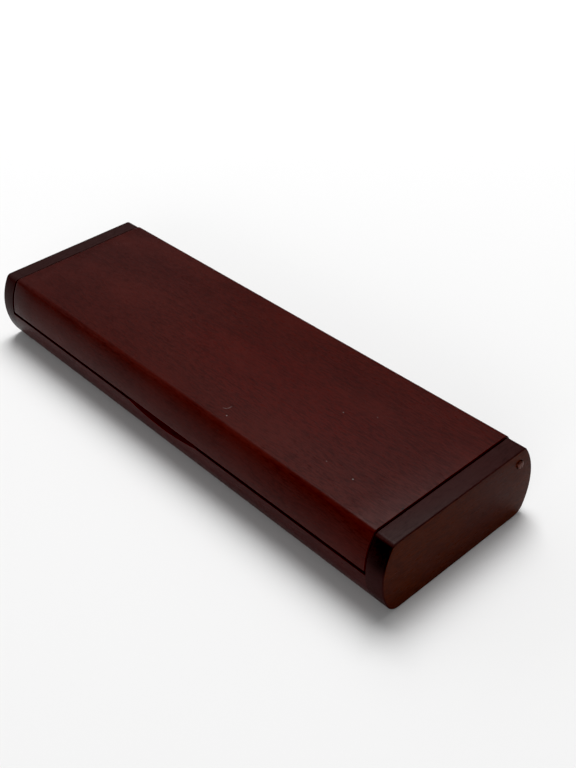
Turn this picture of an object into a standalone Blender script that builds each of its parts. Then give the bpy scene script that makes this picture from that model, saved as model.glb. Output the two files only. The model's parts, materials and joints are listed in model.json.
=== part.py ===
"""A slim hardwood case with rounded sides and a lid that swings on pins in its end blocks.

The case is 184 mm long. +X runs along it to the end block whose pivot pin is named near, -Y is the
side that opens, with the thumb notch, and +Y is the pivot side. The origin is the middle of the
underside. Lengths below are in millimetres and turn into metres where a mesh is made.
"""

from math import asin, atan2, ceil, cos, hypot, pi, radians, sin, sqrt, tan

import bmesh
import bpy

MM = 0.001

# Outside of the case: every long piece is cut from one moulded cross-section.
LENGTH = 184.0
WIDTH = 59.0
HEIGHT = 24.0
SIDE_RADIUS = 20.9
FOOT_RADIUS = 4.5
SHOULDER_RADIUS = 2.0
MID_HEIGHT = HEIGHT / 2
SIDE_CENTRE = WIDTH / 2 - SIDE_RADIUS

# End blocks, and the gaps beside them.
CAP_THICKNESS = 6.0
GLUE_GAP = 0.1
CAP_INNER_X = LENGTH / 2 - CAP_THICKNESS
BASE_LENGTH = 2 * (CAP_INNER_X - GLUE_GAP)
LID_END_GAP = 0.5
LID_LENGTH = 2 * (CAP_INNER_X - LID_END_GAP)

# Walls. The lid sits a little proud of the end blocks, because its catch plates keep it off the rim.
WALL_INNER_Y = 24.0
FLOOR_TOP_Z = 3.5
CAVITY_CORNER_RADIUS = 4.0
LID_LIFT = 0.5
LID_TOP_Z = HEIGHT + LID_LIFT
LID_CEILING_Z = LID_TOP_Z - 4.0
LID_CORNER_RADIUS = 3.0
RIM_Z = 11.85
LID_EDGE_Z = 12.75

# Rule joint at the back: the lid's rounded rail turns inside a cove along the base's back wall.
PIVOT_Y = 23.5
PIVOT_Z = 19.4
RAIL_RADIUS = 5.0
COVE_RADIUS = 5.5
PIN_RADIUS = 1.2
PIN_PROUD = 0.6
PIN_LENGTH = 16.0
PIN_FIT = 0.1
PIN_HOLE_SPARE = 0.6

# Thumb notch in the front rim.
NOTCH_LENGTH = 33.5
NOTCH_DEPTH = 2.1
NOTCH_LEAN = radians(18)
NOTCH_RADIUS = NOTCH_LENGTH**2 / (8 * NOTCH_DEPTH) + NOTCH_DEPTH / 2

# Dowels in the glued joints between the end blocks and the base.
DOWEL_RADIUS = 1.25
DOWEL_Y = 26.0
DOWEL_Z = 6.0
DOWEL_IN_CAP = 3.2
DOWEL_IN_BASE = 8.8
DOWEL_FIT = 0.1
DOWEL_SPARE = 0.3

# Catch: round magnets in the rim of the base, and steel plates in the lid's edge above them.
CATCH_X = 60.0
CATCH_Y = -26.6
CATCH_RADIUS = 1.5
CATCH_THICKNESS = 2.5
CATCH_PROUD = 0.3
CATCH_FIT = 0.1

# Flocked tray in the base, with two long troughs and a finger hollow across them.
TRAY_LENGTH = 171.0
TRAY_WIDTH = 47.2
TRAY_BOTTOM_Z = FLOOR_TOP_Z + 0.3
TRAY_TOP_Z = 10.7
TRAY_CORNER_RADIUS = 4.2
TROUGH_Y = 11.4
TROUGH_RADIUS = 8.6
TROUGH_LENGTH = 152.0
TROUGH_AXIS_Z = 13.6
HOLLOW_RADIUS = 13.0
HOLLOW_AXIS_Z = 19.0
HOLLOW_LENGTH = 37.0

# Padded lining under the lid.
PAD_LENGTH = 166.0
PAD_FRONT_Y = -21.4
PAD_BACK_Y = 17.4
PAD_THICKNESS = 2.6
PAD_TOP_Z = LID_CEILING_Z - 0.3
PAD_EDGE_RADIUS = 1.1

WOOD_LID = ((0.075, 0.016, 0.012), 0.38, 0.0)
WOOD_BASE = ((0.062, 0.014, 0.011), 0.38, 0.0)
WOOD_CAP = ((0.045, 0.014, 0.010), 0.42, 0.0)
DOWEL_BEECH = ((0.55, 0.38, 0.22), 0.7, 0.0)
PIN_COPPER = ((0.32, 0.20, 0.16), 0.45, 0.8)
MAGNET_NICKEL = ((0.62, 0.60, 0.57), 0.25, 1.0)
PLATE_STEEL = ((0.50, 0.50, 0.50), 0.35, 1.0)
FLOCK_BLACK = ((0.012, 0.011, 0.012), 0.95, 0.0)
SATIN_IVORY = ((0.68, 0.61, 0.48), 0.4, 0.0)


def arc(centre, radius, start, end, step=radians(6)):
    """Points of an arc from angle start to angle end, both included."""
    count = max(2, ceil(abs(end - start) / step) + 1)
    angles = [start + (end - start) * i / (count - 1) for i in range(count)]
    return [(centre[0] + radius * cos(a), centre[1] + radius * sin(a)) for a in angles]


def side_y(z):
    """Distance of the rounded side from the middle plane, at a height in the moulding."""
    return SIDE_CENTRE + sqrt(SIDE_RADIUS**2 - (z - MID_HEIGHT) ** 2)


def edge_fillet(flat_z, radius):
    """Centre of the round between a flat and the rounded side, and the angle where it meets the side."""
    centre_z = flat_z + radius if flat_z < MID_HEIGHT else flat_z - radius
    rise = centre_z - MID_HEIGHT
    centre_y = SIDE_CENTRE + sqrt((SIDE_RADIUS - radius) ** 2 - rise**2)
    return (centre_y, centre_z), atan2(rise, centre_y - SIDE_CENTRE)


def side_angle(z):
    return asin((z - MID_HEIGHT) / SIDE_RADIUS)


def back_foot(top_z):
    """The moulding's outline at +Y from the flat underside up to a height, going upwards."""
    centre, meet = edge_fillet(0.0, FOOT_RADIUS)
    foot = arc(centre, FOOT_RADIUS, -pi / 2, meet, radians(12))
    return foot + arc((SIDE_CENTRE, MID_HEIGHT), SIDE_RADIUS, meet, side_angle(top_z))[1:]


def back_shoulder(bottom_z):
    """The moulding's outline at +Y from a height up to the flat top, going upwards."""
    centre, meet = edge_fillet(HEIGHT, SHOULDER_RADIUS)
    side = arc((SIDE_CENTRE, MID_HEIGHT), SIDE_RADIUS, side_angle(bottom_z), meet)
    return side + arc(centre, SHOULDER_RADIUS, meet, pi / 2, radians(12))[1:]


def mirrored(points):
    """The same outline at -Y, in reverse order, so that it carries on round the section."""
    return [(-y, z) for y, z in reversed(points)]


def cap_section():
    right = back_foot(MID_HEIGHT) + back_shoulder(MID_HEIGHT)[1:]
    return right + mirrored(right)


def where_side_meets_pivot_circle(radius):
    """Height on the rounded back, below the pivot, at this distance from the pivot axis."""
    low, high = MID_HEIGHT, PIVOT_Z
    for _ in range(50):
        middle = (low + high) / 2
        if hypot(side_y(middle) - PIVOT_Y, middle - PIVOT_Z) > radius:
            low = middle
        else:
            high = middle
    return (low + high) / 2


def base_section():
    """A trough: flat floor, rim at the front, and the cove of the rule joint at the back."""
    lip_z = where_side_meets_pivot_circle(COVE_RADIUS)
    lip_angle = atan2(lip_z - PIVOT_Z, side_y(lip_z) - PIVOT_Y)
    inner_angle = -pi / 2 + asin((WALL_INNER_Y - PIVOT_Y) / COVE_RADIUS)
    cove = arc((PIVOT_Y, PIVOT_Z), COVE_RADIUS, lip_angle, inner_angle)
    corner_y = WALL_INNER_Y - CAVITY_CORNER_RADIUS
    corner_z = FLOOR_TOP_Z + CAVITY_CORNER_RADIUS
    back_corner = arc((corner_y, corner_z), CAVITY_CORNER_RADIUS, 0, -pi / 2, radians(15))
    outside = mirrored(back_foot(RIM_Z)) + back_foot(lip_z)
    front_wall_top = [(-WALL_INNER_Y, RIM_Z)]
    return outside + cove[1:] + back_corner + mirrored(back_corner) + front_wall_top


def lid_section():
    """Front edge, flat top and back rail in one moulding, drawn before it is lifted by LID_LIFT."""
    rail_pivot = (PIVOT_Y, PIVOT_Z - LID_LIFT)
    ceiling = LID_CEILING_Z - LID_LIFT
    corner_z = where_side_meets_pivot_circle(RAIL_RADIUS) - LID_LIFT
    corner_angle = atan2(corner_z - rail_pivot[1], side_y(corner_z) - PIVOT_Y)
    rail = arc(rail_pivot, RAIL_RADIUS, -pi, corner_angle)
    outside = back_shoulder(corner_z) + mirrored(back_shoulder(LID_EDGE_Z - LID_LIFT))
    inner_corner = arc(
        (-WALL_INNER_Y + LID_CORNER_RADIUS, ceiling - LID_CORNER_RADIUS),
        LID_CORNER_RADIUS,
        pi,
        pi / 2,
        radians(15),
    )
    inside = [(-WALL_INNER_Y, LID_EDGE_Z - LID_LIFT)] + inner_corner
    rail_top = [(PIVOT_Y - RAIL_RADIUS, ceiling)]
    return rail + outside[1:] + inside + rail_top


def rounded_rectangle(y0, y1, z0, z1, low_radius, high_radius):
    """Corners at z0 take low_radius and those at z1 high_radius."""
    corners = [
        ((y1 - low_radius, z0 + low_radius), low_radius, -pi / 2),
        ((y1 - high_radius, z1 - high_radius), high_radius, 0.0),
        ((y0 + high_radius, z1 - high_radius), high_radius, pi / 2),
        ((y0 + low_radius, z0 + low_radius), low_radius, pi),
    ]
    points = []
    for centre, radius, start in corners:
        points += arc(centre, radius, start, start + pi / 2, radians(18))
    return points


def collection_named(name):
    made = bpy.data.collections.new(name)
    bpy.context.scene.collection.children.link(made)
    return made


def material_named(name, look):
    colour, roughness, metallic = look
    made = bpy.data.materials.new(name)
    made.use_nodes = True
    shader = made.node_tree.nodes["Principled BSDF"]
    shader.inputs["Base Color"].default_value = (*colour, 1.0)
    shader.inputs["Roughness"].default_value = roughness
    shader.inputs["Metallic"].default_value = metallic
    return made


def drawn_round(mesh, angle=radians(30)):
    mesh.shade_smooth()
    mesh.set_sharp_from_angle(angle=angle)


def moulding(name, section, length, lift=0.0):
    """A mesh that runs along X, with its section given in Y and Z."""
    flat = bpy.data.curves.new(name + "_section", "CURVE")
    flat.dimensions = "2D"
    flat.fill_mode = "BOTH"
    flat.extrude = length * MM / 2
    spline = flat.splines.new("POLY")
    spline.points.add(len(section) - 1)
    for point, (y, z) in zip(spline.points, section):
        point.co = (y * MM, z * MM, 0.0, 1.0)
    spline.use_cyclic_u = True
    drawn = bpy.data.objects.new(name + "_section", flat)
    drawn.rotation_euler = (pi / 2, 0.0, pi / 2)
    drawn.location = (0.0, 0.0, lift * MM)
    bpy.context.scene.collection.objects.link(drawn)
    bpy.context.view_layer.update()
    graph = bpy.context.evaluated_depsgraph_get()
    mesh = bpy.data.meshes.new_from_object(drawn.evaluated_get(graph))
    mesh.name = name
    made = bpy.data.objects.new(name, mesh)
    made.matrix_world = drawn.matrix_world.copy()
    bpy.data.objects.remove(drawn)
    body = bmesh.new()
    body.from_mesh(mesh)
    bmesh.ops.remove_doubles(body, verts=body.verts, dist=0.00001)
    bmesh.ops.recalc_face_normals(body, faces=body.faces)
    body.to_mesh(mesh)
    body.free()
    drawn_round(mesh)
    return made


def round_bar(name, radius, length, centre, rotation=(0.0, 0.0, 0.0), sides=32):
    bpy.ops.mesh.primitive_cylinder_add(
        vertices=sides,
        radius=radius * MM,
        depth=length * MM,
        location=[c * MM for c in centre],
        rotation=rotation,
    )
    made = bpy.context.object
    made.name = name
    made.data.name = name
    drawn_round(made.data)
    return made


def long_capsule(name, radius, length, centre):
    """A bar along X with round ends: a sphere whose two halves are moved apart."""
    mesh = bpy.data.meshes.new(name)
    body = bmesh.new()
    bmesh.ops.create_uvsphere(body, u_segments=40, v_segments=17, radius=radius * MM)
    stretch = (length / 2 - radius) * MM
    for vertex in body.verts:
        vertex.co.z += stretch if vertex.co.z > 0 else -stretch
    body.to_mesh(mesh)
    body.free()
    made = bpy.data.objects.new(name, mesh)
    made.rotation_euler = (0.0, pi / 2, 0.0)
    made.location = [c * MM for c in centre]
    return made


def place(obj, collection, material=None, parent=None):
    """Puts an object in one collection only, and hangs it on a parent without moving it."""
    for old in list(obj.users_collection):
        old.objects.unlink(obj)
    collection.objects.link(obj)
    if material:
        obj.data.materials.clear()
        obj.data.materials.append(material)
    if parent:
        bpy.context.view_layer.update()
        obj.parent = parent
        obj.matrix_parent_inverse = parent.matrix_world.inverted()
    return obj


def cut(obj, cutter, cutters):
    place(cutter, cutters)
    cutter.hide_render = True
    cutter.display_type = "WIRE"
    difference = obj.modifiers.new("cut_" + cutter.name, "BOOLEAN")
    difference.operation = "DIFFERENCE"
    difference.object = cutter


def soften(obj, width):
    bevel = obj.modifiers.new("soft_edges", "BEVEL")
    bevel.width = width * MM
    bevel.segments = 2
    bevel.limit_method = "ANGLE"
    bevel.angle_limit = radians(40)


def hole_along_x(name, radius, x0, x1, y, z):
    centre = ((x0 + x1) / 2, y, z)
    return round_bar(name, radius, abs(x1 - x0), centre, (0.0, pi / 2, 0.0))


def thumb_notch_cutter():
    """A wide wheel standing on the rim; it leans outwards, so the scoop fades towards the inside."""
    inward = 3.0
    lowest_y = -side_y(RIM_Z) + inward
    lowest_z = RIM_Z - NOTCH_DEPTH + inward * tan(NOTCH_LEAN)
    hub_y = lowest_y - NOTCH_RADIUS * sin(NOTCH_LEAN)
    hub_z = lowest_z + NOTCH_RADIUS * cos(NOTCH_LEAN)
    lean = (pi / 2 + NOTCH_LEAN, 0.0, 0.0)
    return round_bar("thumb_notch", NOTCH_RADIUS, 20.0, (0.0, hub_y, hub_z), lean, sides=240)


def build_base(parts, cutters, wood):
    base = moulding("base_shell", base_section(), BASE_LENGTH)
    place(base, parts, wood)
    cut(base, thumb_notch_cutter(), cutters)
    for end, side in (("near", 1), ("far", -1)):
        hole_start = side * (BASE_LENGTH / 2 + 1)
        hole_end = side * (CAP_INNER_X - DOWEL_IN_BASE - DOWEL_SPARE)
        for edge, y in (("front", -DOWEL_Y), ("back", DOWEL_Y)):
            name = f"base_dowel_hole_{end}_{edge}"
            radius = DOWEL_RADIUS + DOWEL_FIT
            cut(base, hole_along_x(name, radius, hole_start, hole_end, y, DOWEL_Z), cutters)
        depth = CATCH_THICKNESS - CATCH_PROUD + CATCH_FIT
        centre = (side * CATCH_X, CATCH_Y, RIM_Z + 1 - (depth + 1) / 2)
        pocket = round_bar(f"magnet_pocket_{end}", CATCH_RADIUS + CATCH_FIT, depth + 1, centre)
        cut(base, pocket, cutters)
    return base


def build_end_block(end, side, parts, cutters, wood):
    cap = moulding("end_block_" + end, cap_section(), CAP_THICKNESS)
    cap.location.x = side * (CAP_INNER_X + CAP_THICKNESS / 2) * MM
    place(cap, parts, wood)
    inner, outer = side * (CAP_INNER_X - 1), side * (LENGTH / 2 + 1)
    name = "pin_hole_" + end
    cut(cap, hole_along_x(name, PIN_RADIUS + PIN_FIT, inner, outer, PIVOT_Y, PIVOT_Z), cutters)
    for edge, y in (("front", -DOWEL_Y), ("back", DOWEL_Y)):
        bottom = side * (CAP_INNER_X + DOWEL_IN_CAP + DOWEL_SPARE)
        name = f"block_dowel_hole_{end}_{edge}"
        cut(cap, hole_along_x(name, DOWEL_RADIUS + DOWEL_FIT, inner, bottom, y, DOWEL_Z), cutters)
    return cap


def build_dowels(end, side, parts, beech):
    inner = side * (CAP_INNER_X - DOWEL_IN_BASE)
    outer = side * (CAP_INNER_X + DOWEL_IN_CAP)
    for edge, y in (("front", -DOWEL_Y), ("back", DOWEL_Y)):
        dowel = hole_along_x(f"dowel_{end}_{edge}", DOWEL_RADIUS, inner, outer, y, DOWEL_Z)
        soften(dowel, 0.3)
        place(dowel, parts, beech)


def build_pin(end, side, parts, copper):
    outer = side * (LENGTH / 2 + PIN_PROUD)
    inner = side * (LENGTH / 2 + PIN_PROUD - PIN_LENGTH)
    pin = hole_along_x("pivot_pin_" + end, PIN_RADIUS, inner, outer, PIVOT_Y, PIVOT_Z)
    soften(pin, 0.2)
    place(pin, parts, copper)


def build_catch(end, side, parts, nickel, steel, lid_pivot):
    base_z = RIM_Z + CATCH_PROUD - CATCH_THICKNESS / 2
    magnet = round_bar(
        "magnet_" + end, CATCH_RADIUS, CATCH_THICKNESS, (side * CATCH_X, CATCH_Y, base_z)
    )
    soften(magnet, 0.15)
    place(magnet, parts, nickel)
    lid_z = LID_EDGE_Z - CATCH_PROUD + CATCH_THICKNESS / 2
    plate = round_bar(
        "catch_plate_" + end, CATCH_RADIUS, CATCH_THICKNESS, (side * CATCH_X, CATCH_Y, lid_z)
    )
    soften(plate, 0.15)
    place(plate, parts, steel, lid_pivot)


def build_lid(parts, cutters, wood, lid_pivot):
    lid = moulding("lid_shell", lid_section(), LID_LENGTH, LID_LIFT)
    place(lid, parts, wood, lid_pivot)
    hole_bottom = LENGTH / 2 + PIN_PROUD - PIN_LENGTH - PIN_HOLE_SPARE
    for end, side in (("near", 1), ("far", -1)):
        name = "lid_pin_hole_" + end
        start, bottom = side * (LID_LENGTH / 2 + 1), side * hole_bottom
        hole = hole_along_x(name, PIN_RADIUS + PIN_FIT, start, bottom, PIVOT_Y, PIVOT_Z)
        cut(lid, hole, cutters)
        depth = CATCH_THICKNESS - CATCH_PROUD + CATCH_FIT
        centre = (side * CATCH_X, CATCH_Y, LID_EDGE_Z - 1 + (depth + 1) / 2)
        pocket = round_bar(f"plate_pocket_{end}", CATCH_RADIUS + CATCH_FIT, depth + 1, centre)
        cut(lid, pocket, cutters)
    return lid


def build_tray(parts, cutters, flock):
    section = rounded_rectangle(
        -TRAY_WIDTH / 2, TRAY_WIDTH / 2, TRAY_BOTTOM_Z, TRAY_TOP_Z, TRAY_CORNER_RADIUS, 0.8
    )
    tray = moulding("lined_tray", section, TRAY_LENGTH)
    place(tray, parts, flock)
    for edge, y in (("front", -TROUGH_Y), ("back", TROUGH_Y)):
        centre = (0.0, y, TROUGH_AXIS_Z)
        trough = long_capsule("trough_" + edge, TROUGH_RADIUS, TROUGH_LENGTH, centre)
        cut(tray, trough, cutters)
    hollow = long_capsule("finger_hollow", HOLLOW_RADIUS, HOLLOW_LENGTH, (0.0, 0.0, HOLLOW_AXIS_Z))
    hollow.rotation_euler = (pi / 2, 0.0, 0.0)
    cut(tray, hollow, cutters)
    return tray


def build_lid_pad(parts, satin, lid_pivot):
    section = rounded_rectangle(
        PAD_FRONT_Y,
        PAD_BACK_Y,
        PAD_TOP_Z - PAD_THICKNESS,
        PAD_TOP_Z,
        PAD_EDGE_RADIUS,
        0.4,
    )
    pad = moulding("lid_pad", section, PAD_LENGTH)
    place(pad, parts, satin, lid_pivot)
    return pad


def build_case():
    for old in list(bpy.data.objects):
        bpy.data.objects.remove(old)
    parts = collection_named("swing_lid_case")
    cutters = collection_named("cutters")
    base_wood = material_named("wood_base", WOOD_BASE)
    cap_wood = material_named("wood_end_block", WOOD_CAP)
    lid_wood = material_named("wood_lid", WOOD_LID)
    beech = material_named("dowel_beech", DOWEL_BEECH)
    copper = material_named("pin_copper", PIN_COPPER)
    nickel = material_named("magnet_nickel", MAGNET_NICKEL)
    steel = material_named("plate_steel", PLATE_STEEL)
    flock = material_named("flock_black", FLOCK_BLACK)
    satin = material_named("satin_ivory", SATIN_IVORY)

    lid_pivot = bpy.data.objects.new("lid_pivot", None)
    lid_pivot.location = (0.0, PIVOT_Y * MM, PIVOT_Z * MM)
    parts.objects.link(lid_pivot)
    bpy.context.view_layer.update()

    build_base(parts, cutters, base_wood)
    for end, side in (("near", 1), ("far", -1)):
        build_end_block(end, side, parts, cutters, cap_wood)
        build_dowels(end, side, parts, beech)
        build_pin(end, side, parts, copper)
        build_catch(end, side, parts, nickel, steel, lid_pivot)
    build_tray(parts, cutters, flock)
    build_lid(parts, cutters, lid_wood, lid_pivot)
    build_lid_pad(parts, satin, lid_pivot)


build_case()
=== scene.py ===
"""Looks of the slim hardwood case: fine mouldings, lacquered wood, lining, studio and camera.

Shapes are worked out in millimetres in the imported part's own frame and turned into metres where a
mesh is made. +X runs to the near end block, -Y is the side that opens, and Z = 0 is the table.
"""

import json
from collections import namedtuple
from math import asin, atan2, ceil, cos, exp, hypot, pi, radians, sin, sqrt, tan

import bmesh
import bpy
from mathutils import Matrix, Quaternion, Vector


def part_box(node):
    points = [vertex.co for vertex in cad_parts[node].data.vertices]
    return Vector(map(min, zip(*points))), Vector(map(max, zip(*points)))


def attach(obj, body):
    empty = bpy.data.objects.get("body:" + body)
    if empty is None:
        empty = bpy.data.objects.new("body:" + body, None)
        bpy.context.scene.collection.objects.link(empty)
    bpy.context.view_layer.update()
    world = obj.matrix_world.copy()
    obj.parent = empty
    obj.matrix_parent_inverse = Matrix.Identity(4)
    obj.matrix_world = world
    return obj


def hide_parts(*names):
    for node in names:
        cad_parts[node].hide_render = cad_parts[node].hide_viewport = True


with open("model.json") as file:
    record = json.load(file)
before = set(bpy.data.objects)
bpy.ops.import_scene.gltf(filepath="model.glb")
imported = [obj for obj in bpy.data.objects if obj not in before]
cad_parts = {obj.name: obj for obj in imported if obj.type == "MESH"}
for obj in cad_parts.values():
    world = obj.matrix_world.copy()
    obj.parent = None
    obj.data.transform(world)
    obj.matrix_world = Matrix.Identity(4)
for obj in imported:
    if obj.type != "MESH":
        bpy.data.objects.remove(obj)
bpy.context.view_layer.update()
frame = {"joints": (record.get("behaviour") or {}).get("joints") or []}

MM = 0.001


def box_mm(node):
    low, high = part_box(node)
    return low / MM, high / MM


# Places taken from the frame.
LID_LOW, LID_HIGH = box_mm("lid_shell")
BLOCK_LOW, BLOCK_HIGH = box_mm("end_block_near")
TRAY_LOW, TRAY_HIGH = box_mm("lined_tray")
PAD_LOW, PAD_HIGH = box_mm("lid_pad")
PIN_LOW, PIN_HIGH = box_mm("pivot_pin_near")
PIVOT_Y, PIVOT_Z = [value / MM for value in frame["joints"][0]["pos_m"][1:]]

# The moulding that base, lid and end blocks share.
HALF_LENGTH = BLOCK_HIGH.x
HALF_WIDTH = BLOCK_HIGH.y
HEIGHT = BLOCK_HIGH.z
MID_HEIGHT = HEIGHT / 2
SIDE_RADIUS = 20.9
FOOT_RADIUS = 4.5
SHOULDER_RADIUS = 2.0
SIDE_CENTRE = HALF_WIDTH - SIDE_RADIUS

# Walls and rims. The seam opens a little as its two edges wear.
SEAM_RELIEF = 0.1
CAD_RIM_Z = 11.85
BLOCK_INNER_X = BLOCK_LOW.x
WALL_INNER_Y = 24.0
FLOOR_TOP_Z = 3.5
FLOOR_CORNER_RADIUS = 4.0
RIM_Z = CAD_RIM_Z - SEAM_RELIEF
LID_EDGE_Z = LID_LOW.z + SEAM_RELIEF
LID_LIFT = LID_HIGH.z - HEIGHT
LID_TOP_THICKNESS = 4.0
CEILING_Z = LID_HIGH.z - LID_TOP_THICKNESS
CEILING_CORNER_RADIUS = 3.0
RAIL_RADIUS = 5.0
COVE_RADIUS = 5.5

# Thumb notch.
NOTCH_LENGTH = 33.5
NOTCH_DEPTH = 2.1
NOTCH_LEAN = radians(18)
NOTCH_RADIUS = NOTCH_LENGTH**2 / (8 * NOTCH_DEPTH) + NOTCH_DEPTH / 2
NOTCH_BLEND = 0.1

# Edges eased with sandpaper before lacquering.
EASED_RIM = 0.12
EASED_LIP = 0.3
EASED_NEAR_LID_END = 0.12
EASED_FAR_LID_END = 0.85
EASED_LID_INSIDE = 0.08
EASED_BLOCK_OUTSIDE = 0.45
EASED_BLOCK_INSIDE = 0.05

# Round fittings, the play that each has in its hole, and the eased mouths of the holes.
PLAY = 0.1
PIN_RADIUS = (PIN_HIGH.z - PIN_LOW.z) / 2
HOLE_RADIUS = PIN_RADIUS + PLAY
DISC_RADIUS = 1.5
POCKET_RADIUS = DISC_RADIUS + PLAY
POCKET_MOUTH_RADIUS = POCKET_RADIUS + 0.12
MOUTH_DEPTH = 0.1
MOUTH_OVERLAP = 0.02
PIN_MOUTH_RADIUS = HOLE_RADIUS + 0.1
PIN_MOUTH_DEPTH = 0.12
PIN_MOUTH_OVERLAP = 0.05
PIN_END_GAP = 0.6
DOWEL_END_GAP = 0.3

# How far a cutter stands out of the wood that it cuts.
OVERCUT = 1.0

UP = (0, 0, 1)
ALONG = (1, 0, 0)
ENDS = (("near", 1), ("far", -1))

# Fineness: steps of arcs, and numbers of points on the rounded sides and on the rim.
ROUND_STEP = radians(6)
HIDDEN_STEP = radians(9)
BASE_BACK_POINTS = 16
BASE_FRONT_POINTS = 14
LID_BACK_POINTS = 9
LID_FRONT_POINTS = 16
BLOCK_SIDE_POINTS = 26
RIM_POINTS = 10
HALVINGS = 50
RIM_PASSES = 6
POCKET_SIDES = 48
DOWEL_HOLE_SIDES = 32

# Angles between faces above which an edge stays crisp.
CRISP = radians(40)
CRISP_TURNED = radians(30)
CRISP_PAD = radians(50)
CRISP_TRAY = radians(60)


# ---------------------------------------------------------------- outlines


def arc(centre, radius, start, end, step):
    """Points of an arc from angle start to angle end, both included."""
    count = max(2, ceil(abs(end - start) / step) + 1)
    angles = [start + (end - start) * i / (count - 1) for i in range(count)]
    return [(centre[0] + radius * cos(a), centre[1] + radius * sin(a)) for a in angles]


def side_y(z):
    """Distance of the rounded side from the middle plane, at a height in the moulding."""
    return SIDE_CENTRE + sqrt(SIDE_RADIUS**2 - (z - MID_HEIGHT) ** 2)


def side_arc(z_start, z_end, count):
    """The rounded side at +Y between two heights, with a fixed number of points."""
    start = asin((z_start - MID_HEIGHT) / SIDE_RADIUS)
    end = asin((z_end - MID_HEIGHT) / SIDE_RADIUS)
    # A shade more than the exact step, so that rounding never adds a point.
    step = abs(end - start) / (count - 1) * 1.0001
    return arc((SIDE_CENTRE, MID_HEIGHT), SIDE_RADIUS, start, end, step)


def edge_fillet(flat_z, radius):
    """Centre of the round between a flat and the rounded side, and the angle where it meets the side."""
    centre_z = flat_z + radius if flat_z < MID_HEIGHT else flat_z - radius
    rise = centre_z - MID_HEIGHT
    centre_y = SIDE_CENTRE + sqrt((SIDE_RADIUS - radius) ** 2 - rise**2)
    return (centre_y, centre_z), atan2(rise, centre_y - SIDE_CENTRE)


def meeting_height(flat_z, radius):
    return MID_HEIGHT + SIDE_RADIUS * sin(edge_fillet(flat_z, radius)[1])


def foot():
    centre, meet = edge_fillet(0.0, FOOT_RADIUS)
    return arc(centre, FOOT_RADIUS, -pi / 2, meet, ROUND_STEP)


def shoulder():
    centre, meet = edge_fillet(HEIGHT, SHOULDER_RADIUS)
    return arc(centre, SHOULDER_RADIUS, meet, pi / 2, ROUND_STEP)


def mirrored(points):
    """The same outline at -Y, in reverse order, so that it carries on round the section."""
    return [(-p[0], *p[1:]) for p in reversed(points)]


def lifted(points, rise):
    return [(p[0], p[1] + rise, *p[2:]) for p in points]


def eased(points, steps=4):
    """Rounds each corner that has a third number, its radius. Other points stay as they are."""
    result = []
    count = len(points)
    for i, point in enumerate(points):
        if len(point) == 2:
            result.append(point)
            continue
        corner = Vector(point[:2])
        before = (Vector(points[i - 1][:2]) - corner).normalized()
        after = (Vector(points[(i + 1) % count][:2]) - corner).normalized()
        half = before.angle(after) / 2
        radius = point[2]
        centre = corner + (before + after).normalized() * radius / sin(half)
        first = corner + before * radius / tan(half) - centre
        last = corner + after * radius / tan(half) - centre
        turn = atan2(first.x * last.y - first.y * last.x, first.dot(last))
        for k in range(steps + 1):
            spoke = Matrix.Rotation(turn * k / steps, 2) @ first
            result.append(tuple(centre + spoke))
    return result


def inset(points, depth, hidden_depth=None):
    """The outline moved inwards by a small depth. It runs anticlockwise.

    Faces that look down or towards the middle of the case can move less, by hidden_depth.
    """
    if not depth:
        return points
    less = depth if hidden_depth is None else hidden_depth
    result = []
    count = len(points)
    for i, point in enumerate(points):
        before = Vector(points[i - 1])
        after = Vector(points[(i + 1) % count])
        along = (after - before).normalized()
        across = depth if along.y * point[0] > 0 else less
        up = depth if along.x < 0 else less
        result.append((point[0] - along.y * across, point[1] + along.x * up))
    return result


def pivot_circle_height(radius):
    """Height on the rounded back, below the pivot, at this distance from the pivot axis."""
    low, high = MID_HEIGHT, PIVOT_Z
    for _ in range(HALVINGS):
        middle = (low + high) / 2
        if hypot(side_y(middle) - PIVOT_Y, middle - PIVOT_Z) > radius:
            low = middle
        else:
            high = middle
    return (low + high) / 2


def smooth_min(a, b, reach):
    overlap = max(reach - abs(a - b), 0.0) / reach
    return min(a, b) - overlap**2 * reach / 4


def rim_height(x, y):
    """Top of the front rim, dipping into the thumb notch and rising again towards the inside."""
    drop = NOTCH_RADIUS - sqrt(NOTCH_RADIUS**2 - min(abs(x), NOTCH_LENGTH) ** 2)
    scoop = RIM_Z - NOTCH_DEPTH + drop / cos(NOTCH_LEAN) + (y + side_y(RIM_Z)) * tan(NOTCH_LEAN)
    return smooth_min(RIM_Z, scoop, NOTCH_BLEND)


def outer_rim_height(x):
    """Height where the front rim meets the rounded side, found by putting each result back in."""
    height = RIM_Z
    for _ in range(RIM_PASSES):
        height = rim_height(x, -side_y(height))
    return height


def front_rim(x):
    """The top of the front wall at a station, from its inner edge to its outer edge."""
    outer_z = outer_rim_height(x)
    outer_y = -side_y(outer_z)
    rim = [(-WALL_INNER_Y, rim_height(x, -WALL_INNER_Y), EASED_RIM)]
    for k in range(1, RIM_POINTS):
        share = 0.1 + 0.8 * k / RIM_POINTS
        y = -WALL_INNER_Y + (outer_y + WALL_INNER_Y) * share
        rim.append((y, rim_height(x, y)))
    return rim + [(outer_y, outer_z, EASED_RIM)]


def cove(lip_z):
    """The hollow in the back wall that the lid's rail turns in, from its outer lip inwards."""
    lip_angle = atan2(lip_z - PIVOT_Z, side_y(lip_z) - PIVOT_Y)
    inner_angle = -pi / 2 + asin((WALL_INNER_Y - PIVOT_Y) / COVE_RADIUS)
    hollow = arc((PIVOT_Y, PIVOT_Z), COVE_RADIUS, lip_angle, inner_angle, HIDDEN_STEP)
    return [(side_y(lip_z), lip_z, EASED_LIP)] + hollow[1:-1] + [(*hollow[-1], EASED_RIM)]


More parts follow.
